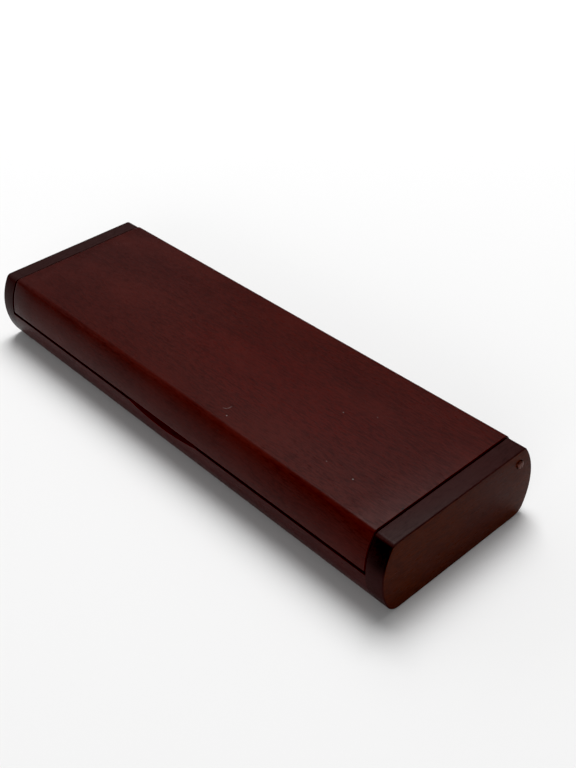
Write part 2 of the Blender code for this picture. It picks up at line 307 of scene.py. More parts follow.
def base_outline(x):
    lip_z = pivot_circle_height(COVE_RADIUS)
    floor_meet = meeting_height(0.0, FOOT_RADIUS)
    back = foot() + side_arc(floor_meet, lip_z, BASE_BACK_POINTS)[1:-1]
    corner = (WALL_INNER_Y - FLOOR_CORNER_RADIUS, FLOOR_TOP_Z + FLOOR_CORNER_RADIUS)
    well = arc(corner, FLOOR_CORNER_RADIUS, 0, -pi / 2, HIDDEN_STEP)
    front_side = side_arc(floor_meet, outer_rim_height(x), BASE_FRONT_POINTS)[1:-1]
    front = mirrored(front_side) + mirrored(foot())
    return eased(back + cove(lip_z) + well + mirrored(well) + front_rim(x) + front)


def lid_outline():
    corner_z = pivot_circle_height(RAIL_RADIUS)
    angle = atan2(corner_z - PIVOT_Z, side_y(corner_z) - PIVOT_Y)
    rail = arc((PIVOT_Y, PIVOT_Z), RAIL_RADIUS, -pi, angle, ROUND_STEP)
    edge_z = LID_EDGE_Z - LID_LIFT
    shoulder_z = meeting_height(HEIGHT, SHOULDER_RADIUS)
    back = side_arc(corner_z - LID_LIFT, shoulder_z, LID_BACK_POINTS)[1:] + shoulder()[1:]
    front = mirrored(side_arc(edge_z, shoulder_z, LID_FRONT_POINTS)[1:] + shoulder()[1:])
    centre = (-WALL_INNER_Y + CEILING_CORNER_RADIUS, CEILING_Z - CEILING_CORNER_RADIUS)
    inside = arc(centre, CEILING_CORNER_RADIUS, pi, pi / 2, HIDDEN_STEP)
    points = rail[:-1] + [(*rail[-1], EASED_LIP)] + lifted(back + front, LID_LIFT)
    points += [(-side_y(edge_z), LID_EDGE_Z, EASED_RIM), (-WALL_INNER_Y, LID_EDGE_Z, EASED_RIM)]
    points += inside + [(PIVOT_Y - RAIL_RADIUS, CEILING_Z)]
    return eased(points)


def block_outline():
    low, high = meeting_height(0.0, FOOT_RADIUS), meeting_height(HEIGHT, SHOULDER_RADIUS)
    side = side_arc(low, high, BLOCK_SIDE_POINTS)
    right = foot() + side[1:-1] + shoulder()
    return right + mirrored(right)


# ---------------------------------------------------------------- meshes


def finished(name, body, sharp=CRISP):
    """A linked object from a bmesh in millimetres, with smooth faces and crisp corners."""
    bmesh.ops.scale(body, vec=(MM, MM, MM), verts=body.verts)
    bmesh.ops.recalc_face_normals(body, faces=body.faces)
    mesh = bpy.data.meshes.new(name)
    body.to_mesh(mesh)
    body.free()
    mesh.shade_smooth()
    mesh.set_sharp_from_angle(angle=sharp)
    made = bpy.data.objects.new(name, mesh)
    bpy.context.scene.collection.objects.link(made)
    return made


def skin(body, rows):
    """Faces between neighbouring rows of vertices. Each row is a ring, and all have one length."""
    for lower, upper in zip(rows, rows[1:]):
        for i in range(len(lower)):
            j = (i + 1) % len(lower)
            body.faces.new((lower[i], lower[j], upper[j], upper[i]))


def loft(name, rings):
    """Joins rings of (x, y, z) points, all of one length, and closes both ends."""
    body = bmesh.new()
    rows = [[body.verts.new(point) for point in ring] for ring in rings]
    skin(body, rows)
    ends = [body.faces.new(rows[0][::-1]), body.faces.new(rows[-1])]
    # A face knows its way up only after this, and cutting a hollow outline up needs that.
    body.normal_update()
    bmesh.ops.triangulate(body, faces=ends)
    return finished(name, body)


def turned(name, profile, centre, axis, sides=64):
    """A lathe shape: profile is (distance along the axis, radius), centre a point on the axis."""
    turn = Vector(UP).rotation_difference(Vector(axis)).to_matrix()
    body = bmesh.new()
    rows = []
    for along, radius in profile:
        ring = []
        for k in range(sides):
            angle = 2 * pi * k / sides
            local = Vector((radius * cos(angle), radius * sin(angle), along))
            ring.append(body.verts.new(Vector(centre) + turn @ local))
        rows.append(ring)
    skin(body, rows)
    body.faces.new(rows[0][::-1])
    body.faces.new(rows[-1])
    return finished(name, body, CRISP_TURNED)


def cut(obj, cutters):
    """Takes the cutters out of an object and removes them. The result is a plain mesh."""
    for cutter in cutters:
        difference = obj.modifiers.new("cut", "BOOLEAN")
        difference.operation = "DIFFERENCE"
        difference.object = cutter
    bpy.context.view_layer.update()
    graph = bpy.context.evaluated_depsgraph_get()
    mesh = bpy.data.meshes.new_from_object(obj.evaluated_get(graph))
    obj.modifiers.clear()
    obj.data = mesh
    mesh.name = obj.name
    mesh.shade_smooth()
    mesh.set_sharp_from_angle(angle=CRISP)
    for cutter in cutters:
        bpy.data.objects.remove(cutter)
    return obj


def rounded_end(x_end, radius, steps=4):
    """Stations near an end, as (x, how far the section is drawn in), going outwards."""
    side = 1 if x_end > 0 else -1
    angles = [pi / 2 * k / steps for k in range(steps + 1)]
    return [(x_end - side * radius * (1 - sin(a)), radius * (1 - cos(a))) for a in angles]


def stand_for(piece, node, body, material):
    piece.data.materials.clear()
    piece.data.materials.append(material)
    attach(piece, body)
    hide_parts(node)
    return piece


# ---------------------------------------------------------------- materials


class Nodes:
    """A small helper that adds and links shader nodes."""

    def __init__(self, name):
        self.material = bpy.data.materials.new(name)
        self.material.use_nodes = True
        self.tree = self.material.node_tree
        self.shader = self.tree.nodes["Principled BSDF"]

    def add(self, kind, inputs=None, **settings):
        node = self.tree.nodes.new(kind)
        for key, value in settings.items():
            setattr(node, key, value)
        for key, value in (inputs or {}).items():
            self.feed(node.inputs[key], value)
        return node

    def feed(self, socket, value):
        if isinstance(value, bpy.types.NodeSocket):
            self.tree.links.new(value, socket)
        else:
            socket.default_value = value

    def math(self, operation, a, b=0.0):
        return self.add("ShaderNodeMath", {0: a, 1: b}, operation=operation).outputs[0]

    def millimetres(self, stretch=(1.0, 1.0, 1.0), shift=(0.0, 0.0, 0.0)):
        """The piece's own coordinates in millimetres, scaled along each axis."""
        place = self.add("ShaderNodeTexCoord").outputs["Object"]
        scale = [1 / MM * s for s in stretch]
        return self.add("ShaderNodeMapping", {0: place, "Scale": scale, "Location": shift}).outputs[0]

    def axes(self):
        """The piece's own x, y and z in millimetres, as three sockets."""
        return self.add("ShaderNodeSeparateXYZ", {0: self.millimetres()}).outputs

    def noise(self, place, scale, detail=2.0, roughness=0.5, distortion=0.0):
        inputs = {
            "Vector": place,
            "Scale": scale,
            "Detail": detail,
            "Roughness": roughness,
            "Distortion": distortion,
        }
        return self.add("ShaderNodeTexNoise", inputs).outputs["Fac"]

    def ramp(self, fac, low, high, out_low=0.0, out_high=1.0):
        inputs = {"Value": fac, 1: low, 2: high, 3: out_low, 4: out_high}
        return self.add("ShaderNodeMapRange", inputs, interpolation_type="SMOOTHSTEP").outputs[0]

    def mix(self, fac, a, b):
        node = self.add("ShaderNodeMix", data_type="RGBA")
        self.feed(node.inputs[0], fac)
        self.feed(node.inputs[6], a)
        self.feed(node.inputs[7], b)
        return node.outputs[2]

    def tint(self, tone, field, span, amount, colour):
        """Mixes a colour in as a field rises through a span, up to an amount."""
        return self.mix(self.ramp(field, *span, 0.0, amount), tone, rgb(*colour))

    def blend(self, a, share_a, b, share_b):
        """The weighted sum of two fields."""
        return self.math("ADD", self.math("MULTIPLY", a, share_a), self.math("MULTIPLY", b, share_b))

    def bump(self, height, distance):
        inputs = {"Height": height, "Distance": distance * MM, "Strength": 1.0}
        return self.add("ShaderNodeBump", inputs).outputs[0]

    def fix(self, **values):
        """Sets sockets of the shader to plain values, by their names with _ for each space."""
        for name, value in values.items():
            self.shader.inputs[name.replace("_", " ")].default_value = value


def rgb(red, green, blue):
    return (red, green, blue, 1.0)


def scaled(colour, factor):
    return [part * factor for part in colour]


# The wood's noise fields. stretch is the scale along the grain compared with across it, shift is in
# seeds, and scale is per millimetre.
Field = namedtuple("Field", "stretch shift scale detail roughness distortion")
WOOD_FIELDS = {
    "fibre": Field(0.13, (1, 2, 3), 2.7, 3.0, 0.66, 0.0),
    "line": Field(0.04, (2, 1, 1), 1.0, 3.0, 0.6, 0.15),
    "band": Field(0.22, (3, 1, 2), 0.10, 2.0, 0.5, 0.5),
    "cloud": Field(0.6, (1, 0, 0), 0.05, 2.0, 0.5, 0.0),
    "mottle": Field(0.45, (0, 1, 1), 0.9, 3.0, 0.7, 0.0),
    "pore_gate": Field(0.2, (1, 1, 1), 0.45, 1.0, 0.5, 0.0),
}
PORES_ALONG = 0.25
PORES_ACROSS = 3.4
PORE_EDGE = (0.06, 0.32)
PORE_GATE = (0.44, 0.6)
PEEL_SCALE = 0.8

# What each field does to the stain: the span that it rises through, and the most that it adds.
BAND_TINT = ((0.25, 0.75), 0.7)
LINE_TINT = ((0.5, 0.78), 0.35)
FIBRE_TINT = ((0.44, 0.60), 0.5)
MOTTLE_TINT = ((0.5, 0.75), 0.12)
CLOUD_TINT = ((0.45, 0.7), 0.4)
CLOUD_LIGHTENS = 1.25
PORE_STRENGTH = 0.6
PORE_DARKENS = 0.3

# The lacquer: its roughness from smooth to rough, its relief in millimetres, and its clear coat.
LACQUER_ROUGHNESS = (0.26, 0.40)
LACQUER_RELIEF = 0.018
COAT_WEIGHT = 0.02
COAT_ROUGHNESS = 0.2


def wood_fields(n, along, seed):
    """Noise fields of the wood, each stretched along the grain: fibres, lines, bands, pores and so on."""

    def lengthened(along_scale, across_scale, shift):
        scales = [along_scale if i == along else across_scale for i in range(3)]
        return n.millimetres(scales, [seed * s for s in shift])

    fields = {"peel": n.noise(n.millimetres(), PEEL_SCALE)}
    for name, field in WOOD_FIELDS.items():
        place = lengthened(field.stretch, 1.0, field.shift)
        fields[name] = n.noise(place, *field[2:])
    pore_place = lengthened(PORES_ALONG, PORES_ACROSS, (1, 1, 0))
    cells = n.add("ShaderNodeTexVoronoi", {"Vector": pore_place, "Scale": 1.0, "Randomness": 1.0})
    pores = n.ramp(cells.outputs["Distance"], *PORE_EDGE, 1.0, 0.0)
    fields["pores"] = n.math("MULTIPLY", pores, n.ramp(fields["pore_gate"], *PORE_GATE))
    return fields


def lacquered_wood(name, along, tones, seed, specular, accents=()):
    """Close-grained stained wood under a thin satin lacquer.

    along is the axis that the grain follows. tones are a pale, a deep and a dark colour. accents are
    functions that return a mask and a colour for a part of the surface that is stained differently, or
    where light or shade is painted into the colour.
    """
    pale, deep, dark = tones
    n = Nodes(name)
    f = wood_fields(n, along, seed)
    tone = n.tint(rgb(*pale), f["band"], *BAND_TINT, deep)
    for accent in accents:
        mask, colour = accent(n)
        tone = n.mix(mask, tone, rgb(*colour))
    tone = n.tint(tone, f["line"], *LINE_TINT, dark)
    tone = n.tint(tone, f["fibre"], *FIBRE_TINT, dark)
    tone = n.tint(tone, f["mottle"], *MOTTLE_TINT, dark)
    tone = n.tint(tone, f["cloud"], *CLOUD_TINT, scaled(pale, CLOUD_LIGHTENS))
    pore_mask = n.math("MULTIPLY", f["pores"], PORE_STRENGTH)
    tone = n.mix(pore_mask, tone, rgb(*scaled(dark, PORE_DARKENS)))
    n.feed(n.shader.inputs["Base Color"], tone)
    gloss = n.blend(f["fibre"], 0.6, f["mottle"], 0.4)
    n.feed(n.shader.inputs["Roughness"], n.ramp(gloss, 0.35, 0.65, *LACQUER_ROUGHNESS))
    relief = n.blend(f["fibre"], 1.0, f["pores"], -1.2)
    relief = n.blend(relief, 1.0, f["peel"], 0.8)
    n.feed(n.shader.inputs["Normal"], n.bump(relief, LACQUER_RELIEF))
    n.fix(Specular_IOR_Level=specular, Coat_Weight=COAT_WEIGHT, Coat_Roughness=COAT_ROUGHNESS)
    return n.material


# ---------------------------------------------------------------- stains, marks and painted light


# Stains: a pale, a deep and a dark tone for each kind of piece.
LID_TONES = ((0.048, 0.0060, 0.0042), (0.039, 0.0044, 0.0034), (0.013, 0.0008, 0.0005))
BASE_TONES = ((0.037, 0.0042, 0.0036), (0.030, 0.0034, 0.0028), (0.018, 0.0020, 0.0016))
BLOCK_TONES = ((0.024, 0.0055, 0.0052), (0.019, 0.0044, 0.0042), (0.012, 0.0028, 0.0026))

# Each kind's part of the noise, and its specular level.
LID_SEED, BASE_SEED, BLOCK_SEED = 11.0, 47.0, 83.0
LID_SPECULAR, BASE_SPECULAR, BLOCK_SPECULAR = 0.032, 0.035, 0.02
GRAIN_ALONG_CASE = 0
GRAIN_ACROSS_CASE = 1

# Tones of the places that are stained differently, of the places where light or shade is painted, and of the
# marks.
HEART_TONE = (0.056, 0.0042, 0.0028)
FAR_END_TONE = (0.029, 0.0026, 0.0018)
# Painted light: a brighter, redder tone for the thumb notch, which lies in the lid's shade.
SCOOP_LIT_TONE = (0.075, 0.0030, 0.0026)
# Painted shade: an almost black tone for the front shoulder of the near end block.
PAINTED_SHADE_CORNER_TONE = (0.0006, 0.0002, 0.0002)
# Painted sheen: a greyer tone for the flat tops of the end blocks, in place of their reflection.
BLOCK_TOP_SHEEN_TONE = (0.025, 0.0088, 0.0082)
# Painted light: a lighter, more orange tone for the outer faces of the end blocks.
END_FACE_LIT_TONE = (0.055, 0.0085, 0.0014)
DUST_TONE = (0.26, 0.23, 0.22)
NICK_TONE = (0.004, 0.002, 0.002)

# Where those places are, in millimetres.
HEART_CENTRE = (22, -3, LID_HIGH.z)
HEART_RADIUS = 13.0
HEART_STRETCH = (0.3, 1.0, 1.0)
HEART_STRENGTH = 0.6
FAR_END_SPAN = (-95.0, -35.0)
FAR_END_STRENGTH = 0.75
# Painted shade: the ball where the near end block's front shoulder is drawn almost black.
PAINTED_SHADE_CORNER_CENTRE = (HALF_LENGTH - 2.5, -27.0, 21.5)
PAINTED_SHADE_CORNER_RADIUS = 6.4
# Painted light: where the outer face of an end block is drawn lighter.
END_FACE_LIT_SPAN = (HALF_LENGTH - 0.05, HALF_LENGTH - 0.01)
# Painted sheen: the heights where the end blocks' tops are drawn greyer.
BLOCK_TOP_SHEEN_SPAN = (HEIGHT - 0.7, HEIGHT - 0.25)
# Painted light: the reach of the brighter notch tone about the notch's cut surface.
SCOOP_LIT_SPAN = (-0.25, -0.08)

# Marks on the flat top of the lid, as x, y and radius.
DUST = (
    (24.3, -22.5, 0.18),
    (68.4, -16.2, 0.24),
    (46.8, 1.6, 0.16),
    (55.2, 6.7, 0.13),
    (58.4, -16.1, 0.12),
)
LID_NICK = (85.1, -15.1, 0.4)
HAIR = (20.6, -19.4, 1.55)
HAIR_FACING = (0.86, -0.51, 0.0)
HAIR_EDGE = (0.05, 0.18)
HAIR_STRENGTH = 0.3


def near_point(n, point, radius, stretch=(1.0, 1.0, 1.0)):
    """1 inside a soft-edged ball round a point, 0 outside. stretch below 1 lengthens it along an axis."""
    centre = [p * s for p, s in zip(point, stretch)]
    away = n.add("ShaderNodeVectorMath", {0: n.millimetres(stretch), 1: centre}, operation="DISTANCE")
    return n.ramp(away.outputs["Value"], radius * 0.6, radius * 1.25, 1.0, 0.0)


def speck(x, y, radius, colour):
    """A fleck of dust, or a nick, on the lid's flat top."""
    return lambda n: (near_point(n, (x, y, LID_HIGH.z), radius), colour)


def hair(x, y, radius, colour):
    """A short curved fibre lying on the lid: the part of a thin ring on the side of HAIR_FACING."""

    def accent(n):
        place = n.millimetres()
        centre = (x, y, LID_HIGH.z)
        spoke = n.add("ShaderNodeVectorMath", {0: place, 1: centre}, operation="SUBTRACT").outputs[0]
        length = n.add("ShaderNodeVectorMath", {0: spoke}, operation="LENGTH").outputs["Value"]
        off = n.math("ABSOLUTE", n.math("SUBTRACT", length, radius))
        ring = n.ramp(off, *HAIR_EDGE, 1.0, 0.0)
        facing = n.add("ShaderNodeVectorMath", {0: spoke, 1: HAIR_FACING}, operation="DOT_PRODUCT")
        part = n.ramp(facing.outputs["Value"], radius * 0.5, radius * 0.65, 0.0, HAIR_STRENGTH)
        return n.math("MULTIPLY", ring, part), colour

    return accent


def warm_heart(n):
    """A longer, redder patch in the middle of the lid."""
    patch = near_point(n, HEART_CENTRE, HEART_RADIUS, HEART_STRETCH)
    return n.math("MULTIPLY", patch, HEART_STRENGTH), HEART_TONE


def darker_far_end(n):
    """The lid's colour darkens a little towards its far end."""
    return n.ramp(n.axes()[0], *FAR_END_SPAN, FAR_END_STRENGTH, 0.0), FAR_END_TONE


def block_face_painted_light(n):
    """Painted light: the outer face of an end block is drawn lighter and more orange, standing in for light
    falling on it.
    """
    return n.ramp(n.math("ABSOLUTE", n.axes()[0]), *END_FACE_LIT_SPAN), END_FACE_LIT_TONE


def painted_shade_corner(n):
    """Painted shade: the front shoulder of the near end block, drawn almost black where shade falls."""
    return near_point(n, PAINTED_SHADE_CORNER_CENTRE, PAINTED_SHADE_CORNER_RADIUS), PAINTED_SHADE_CORNER_TONE


def block_top_painted_sheen(n):
    """Painted sheen: the flat top of an end block is drawn greyer, standing in for the reflection it
    catches.
    """
    return n.ramp(n.axes()[2], *BLOCK_TOP_SHEEN_SPAN), BLOCK_TOP_SHEEN_TONE


def notch_painted_light(n):
    """Painted light: the cut surface of the thumb notch, drawn brighter and redder to stand in for light
    that hardly reaches it under the lid's edge.
    """
    along, across, up = n.axes()
    dip = n.math("MULTIPLY", n.math("MULTIPLY", along, along), 0.5 / NOTCH_RADIUS)
    slope = n.math("MULTIPLY", n.math("ADD", across, side_y(RIM_Z)), tan(NOTCH_LEAN))
    scoop = n.math("ADD", n.math("ADD", dip, slope), RIM_Z - NOTCH_DEPTH)
    return n.ramp(n.math("SUBTRACT", up, scoop), *SCOOP_LIT_SPAN), SCOOP_LIT_TONE


# ---------------------------------------------------------------- metals and linings


# Metals: a bright and a dull tone, the least roughness, its spread, and the depth of the scratches.
Metal = namedtuple("Metal", "bright dull roughness spread scratch")
COPPER = Metal((0.105, 0.041, 0.032), (0.066, 0.025, 0.020), 0.46, 0.2, 0.01)
NICKEL = Metal((0.68, 0.66, 0.62), (0.55, 0.53, 0.50), 0.16, 0.14, 0.003)
STEEL = Metal((0.52, 0.52, 0.52), (0.36, 0.36, 0.37), 0.28, 0.2, 0.01)

BEECH = (0.60, 0.43, 0.27)
BEECH_LATE_WOOD = (0.40, 0.25, 0.13)
BEECH_FLECK = (0.30, 0.17, 0.09)
FLOCK_DEEP = (0.006, 0.0055, 0.0065)
FLOCK = (0.022, 0.020, 0.023)
FLOCK_NAP = (0.030, 0.028, 0.031)
FLOCK_SHEEN = (0.55, 0.53, 0.58)
SATIN = (0.69, 0.62, 0.49)
SATIN_SLUB = (0.60, 0.52, 0.39)
SATIN_LIGHT = (0.74, 0.68, 0.56)
SATIN_THREAD = (0.42, 0.35, 0.25)


def bare_beech():
    """Unfinished dowel wood, with the small dark flecks that beech has."""
    n = Nodes("bare_beech")
    grain = n.noise(n.millimetres((0.08, 1, 1)), 2.2, 3.0, 0.6)
    fleck = n.noise(n.millimetres((0.3, 1, 3)), 1.4, 2.0)
    tone = n.tint(rgb(*BEECH), grain, (0.3, 0.75), 1.0, BEECH_LATE_WOOD)
    tone = n.tint(tone, fleck, (0.58, 0.7), 0.5, BEECH_FLECK)
    n.feed(n.shader.inputs["Base Color"], tone)
    n.feed(n.shader.inputs["Roughness"], n.ramp(grain, 0.3, 0.7, 0.62, 0.78))
    n.feed(n.shader.inputs["Normal"], n.bump(grain, 0.04))
    return n.material


def worn_metal(name, metal):
    """Metal with a cloudy surface film and fine scratches."""
    n = Nodes(name)
    cloud = n.noise(n.millimetres(), 1.6, 4.0, 0.6)
    scrape = n.noise(n.millimetres((1.0, 9.0, 1.0)), 2.5, 3.0, 0.7)
    n.feed(n.shader.inputs["Base Color"], n.tint(rgb(*metal.bright), cloud, (0.35, 0.68), 1.0, metal.dull))
    film = n.blend(cloud, 0.6, scrape, 0.4)
    roughness = n.ramp(film, 0.3, 0.7, metal.roughness, metal.roughness + metal.spread)
    n.feed(n.shader.inputs["Roughness"], roughness)
    n.feed(n.shader.inputs["Normal"], n.bump(scrape, metal.scratch))
    n.fix(Metallic=1.0)
    return n.material


def black_flock():
    """Short nylon pile: matt, with a soft sheen at glancing angles and nap that lies in patches."""
    n = Nodes("black_flock")
    pile = n.noise(n.millimetres(), 5.5, 3.0, 0.7)
    nap = n.noise(n.millimetres((1.0, 1.6, 1.0)), 0.09, 3.0, 0.6, 0.8)
    tone = n.tint(rgb(*FLOCK_DEEP), pile, (0.3, 0.7), 1.0, FLOCK)
    tone = n.tint(tone, nap, (0.35, 0.7), 0.45, FLOCK_NAP)
    n.feed(n.shader.inputs["Base Color"], tone)
    n.feed(n.shader.inputs["Roughness"], n.ramp(nap, 0.3, 0.7, 0.88, 1.0))
    n.feed(n.shader.inputs["Normal"], n.bump(pile, 0.16))
    n.fix(Specular_IOR_Level=0.12, Sheen_Weight=0.55, Sheen_Roughness=0.42, Sheen_Tint=rgb(*FLOCK_SHEEN))
    return n.material


def ivory_satin():
    """Warp-faced satin: fine threads along X, long floats and a silky, uneven gloss."""
    n = Nodes("ivory_satin")
    weave = {"Vector": n.millimetres((0.02, 1.0, 1.0)), "Scale": 1.1, "Distortion": 0.6, "Detail": 2.0}
    thread = n.add("ShaderNodeTexWave", weave, bands_direction="Y").outputs["Fac"]
    slub = n.noise(n.millimetres((0.05, 1.0, 1.0)), 1.3, 3.0, 0.6)
    cloud = n.noise(n.millimetres(), 0.05, 2.0, 0.5)
    tone = n.tint(rgb(*SATIN), slub, (0.35, 0.75), 1.0, SATIN_SLUB)
    tone = n.tint(tone, cloud, (0.4, 0.7), 0.4, SATIN_LIGHT)
    tone = n.mix(n.math("MULTIPLY", thread, 0.10), tone, rgb(*SATIN_THREAD))
    n.feed(n.shader.inputs["Base Color"], tone)
    n.feed(n.shader.inputs["Roughness"], n.ramp(slub, 0.3, 0.7, 0.34, 0.46))
    n.feed(n.shader.inputs["Normal"], n.bump(n.blend(thread, 0.5, slub, 1.0), 0.02))
    n.fix(Sheen_Weight=0.25, Sheen_Roughness=0.3, Anisotropic=0.5)
    return n.material


# ---------------------------------------------------------------- wooden pieces


NOTCH_MARGIN = 1.5
NOTCH_STATIONS = 90
PLAIN_STATIONS = 10


def base_stations():
    """Places along the case where the base's section is taken, close together at the notch."""
    dense = NOTCH_LENGTH / 2 + NOTCH_MARGIN
    reach = BLOCK_INNER_X - dense
    plain = [BLOCK_INNER_X - reach * k / PLAIN_STATIONS for k in range(PLAIN_STATIONS)]
    notch = [dense - 2 * dense * k / NOTCH_STATIONS for k in range(NOTCH_STATIONS + 1)]
    return [-x for x in plain] + notch[::-1] + plain[::-1]


def pocket(node, mouth, rest):
    """A cutter for a disc's pocket. mouth and rest are its profile at the rim and in the wood."""
    low, high = box_mm(node)
    centre = (low + high) / 2
    profile = sorted(mouth + rest)
    return turned("disc_pocket", profile, (centre.x, centre.y, 0), UP, POCKET_SIDES)


def dowel_hole(end, edge, start, stop, axis):
    """A cutter for a dowel's hole, from start to stop along an axis."""
    low, high = box_mm(f"dowel_{end}_{edge}")
    radius = (high.z - low.z) / 2 + PLAY
    centre = (0, (low.y + high.y) / 2, (low.z + high.z) / 2)
    return turned("dowel_hole", [(start, radius), (stop, radius)], centre, axis, DOWEL_HOLE_SIDES)


def make_base(wood):
    rings = [[(x, y, z) for y, z in base_outline(x)] for x in base_stations()]
    base = loft("base_wood", rings)
    cutters = []
    for end, _ in ENDS:
        bottom = box_mm("magnet_" + end)[0].z - PLAY
        rest = [(bottom, POCKET_RADIUS), (RIM_Z - MOUTH_DEPTH, POCKET_RADIUS)]
        mouth = [(RIM_Z + MOUTH_OVERLAP, POCKET_MOUTH_RADIUS), (RIM_Z + OVERCUT, POCKET_MOUTH_RADIUS)]
        cutters.append(pocket("magnet_" + end, mouth, rest))
    for end, _ in ENDS:
        for edge in ("front", "back"):
            low, high = box_mm(f"dowel_{end}_{edge}")
            start, stop = low.x - DOWEL_END_GAP, BLOCK_INNER_X + OVERCUT
            if end == "far":
                start, stop = -BLOCK_INNER_X - OVERCUT, high.x + DOWEL_END_GAP
            cutters.append(dowel_hole(end, edge, start, stop, ALONG))
    cut(base, cutters)
    return stand_for(base, "base_shell", "case", wood)


def make_lid(wood):
    outline = lid_outline()
    far_end = rounded_end(LID_LOW.x, EASED_FAR_LID_END)
    near_end = rounded_end(LID_HIGH.x, EASED_NEAR_LID_END)
    middle = [(LID_HIGH.x * k / 8, 0.0) for k in range(-7, 8)]
    rings = []
    for x, depth in far_end[::-1] + middle + near_end:
        section = inset(outline, depth, min(depth, EASED_LID_INSIDE))
        rings.append([(x, y, z) for y, z in section])
    lid = loft("lid_wood", rings)
    cutters = []
    for end, side in ENDS:
        top = box_mm("catch_plate_" + end)[1].z + PLAY
        rest = [(LID_EDGE_Z + MOUTH_DEPTH, POCKET_RADIUS), (top, POCKET_RADIUS)]
        mouth = [(LID_EDGE_Z - OVERCUT, POCKET_MOUTH_RADIUS)]
        mouth += [(LID_EDGE_Z - MOUTH_OVERLAP, POCKET_MOUTH_RADIUS)]
        cutters.append(pocket("catch_plate_" + end, mouth, rest))
        hole = [(PIN_LOW.x - PIN_END_GAP, HOLE_RADIUS), (LID_HIGH.x + OVERCUT, HOLE_RADIUS)]
        cutters.append(turned("pin_hole", hole, (0, PIVOT_Y, PIVOT_Z), (side, 0, 0), POCKET_SIDES))
    cut(lid, cutters)
    return stand_for(lid, "lid_shell", "lid", wood)


def make_end_block(end, side, wood):
    outline = block_outline()
    inside = [(-x, depth) for x, depth in rounded_end(-BLOCK_INNER_X, EASED_BLOCK_INSIDE, 2)]
    stations = inside[::-1] + rounded_end(HALF_LENGTH, EASED_BLOCK_OUTSIDE, 6)
    rings = []
    for x, depth in stations:
        rings.append([(side * x, y, z) for y, z in inset(outline, depth)])
    if side < 0:
        rings.reverse()
    block = loft("end_block_wood_" + end, rings)
    hole = [(BLOCK_INNER_X - OVERCUT, HOLE_RADIUS), (HALF_LENGTH - PIN_MOUTH_DEPTH, HOLE_RADIUS)]
    hole += [(HALF_LENGTH + PIN_MOUTH_OVERLAP, PIN_MOUTH_RADIUS)]
    hole += [(HALF_LENGTH + OVERCUT, PIN_MOUTH_RADIUS)]
    cutters = [turned("pin_hole", hole, (0, PIVOT_Y, PIVOT_Z), (side, 0, 0), POCKET_SIDES)]
    for edge in ("front", "back"):
        low, high = box_mm(f"dowel_{end}_{edge}")
        stop = max(abs(low.x), abs(high.x)) + DOWEL_END_GAP
        cutters.append(dowel_hole(end, edge, BLOCK_INNER_X - OVERCUT, stop, (side, 0, 0)))
    cut(block, cutters)
    return stand_for(block, "end_block_" + end, "case", wood)


# ---------------------------------------------------------------- fittings


# The pin's tip: distance back from its end, and how much thinner the pin is there.
PIN_TIP = ((0.3, 0.0), (0.16, 0.06), (0.05, 0.2), (0.0, 0.36))
PIN_DIMPLE_DEPTH = 0.03
PIN_DIMPLE_RADIUS = 0.35
PIN_INNER_BEVEL = 0.3
PIN_INNER_END_RADIUS = 0.7

DISC_EDGE = 0.15
DISC_BEVEL = 0.05
FLUTES = 14
POINTS_PER_FLUTE = 6
FLUTE_DEPTH = 0.12
DOWEL_TAPER = 0.8
DOWEL_TAPER_LENGTH = 0.35


def make_pin(end, side, metal):
    inner, outer = PIN_LOW.x, PIN_HIGH.x
    profile = [(inner, PIN_INNER_END_RADIUS), (inner + PIN_INNER_BEVEL, PIN_RADIUS)]
    profile += [(outer - back, PIN_RADIUS - thinner) for back, thinner in PIN_TIP]
    profile += [(outer - PIN_DIMPLE_DEPTH, PIN_DIMPLE_RADIUS)]
    pin = turned("pin_" + end, profile, (0, PIVOT_Y, PIVOT_Z), (side, 0, 0))
    return stand_for(pin, "pivot_pin_" + end, "case", metal)


def make_disc(node, body, metal):
    low, high = box_mm(node)
    centre = (low + high) / 2
    profile = [(low.z, DISC_RADIUS - DISC_EDGE), (low.z + DISC_BEVEL, DISC_RADIUS - DISC_BEVEL)]
    profile += [(low.z + DISC_EDGE, DISC_RADIUS), (high.z - DISC_EDGE, DISC_RADIUS)]
    profile += [(high.z - DISC_BEVEL, DISC_RADIUS - DISC_BEVEL), (high.z, DISC_RADIUS - DISC_EDGE)]
    disc = turned(node + "_disc", profile, (centre.x, centre.y, 0), UP, POCKET_SIDES)
    return stand_for(disc, node, body, metal)


def dowel_ring(x, centre, radius, scale):
    """A fluted section of a dowel, drawn in by a scale at its tapered ends."""
    ring = []
    count = FLUTES * POINTS_PER_FLUTE
    for k in range(count):
        angle = 2 * pi * k / count
        groove = FLUTE_DEPTH * max(0.0, cos(FLUTES * angle)) ** 2
        reach = (radius - groove) * scale
        ring.append((x, centre.y + reach * cos(angle), centre.z + reach * sin(angle)))
    return ring


def make_dowel(end, edge, wood):
    node = f"dowel_{end}_{edge}"
    low, high = box_mm(node)
    centre = (low + high) / 2
    radius = (high.z - low.z) / 2
    stations = [(low.x, DOWEL_TAPER), (low.x + DOWEL_TAPER_LENGTH, 1.0)]
    stations += [(high.x - DOWEL_TAPER_LENGTH, 1.0), (high.x, DOWEL_TAPER)]
    rings = [dowel_ring(x, centre, radius, scale) for x, scale in stations]
    return stand_for(loft("dowel_pin_" + end + "_" + edge, rings), node, "case", wood)


# ---------------------------------------------------------------- lining


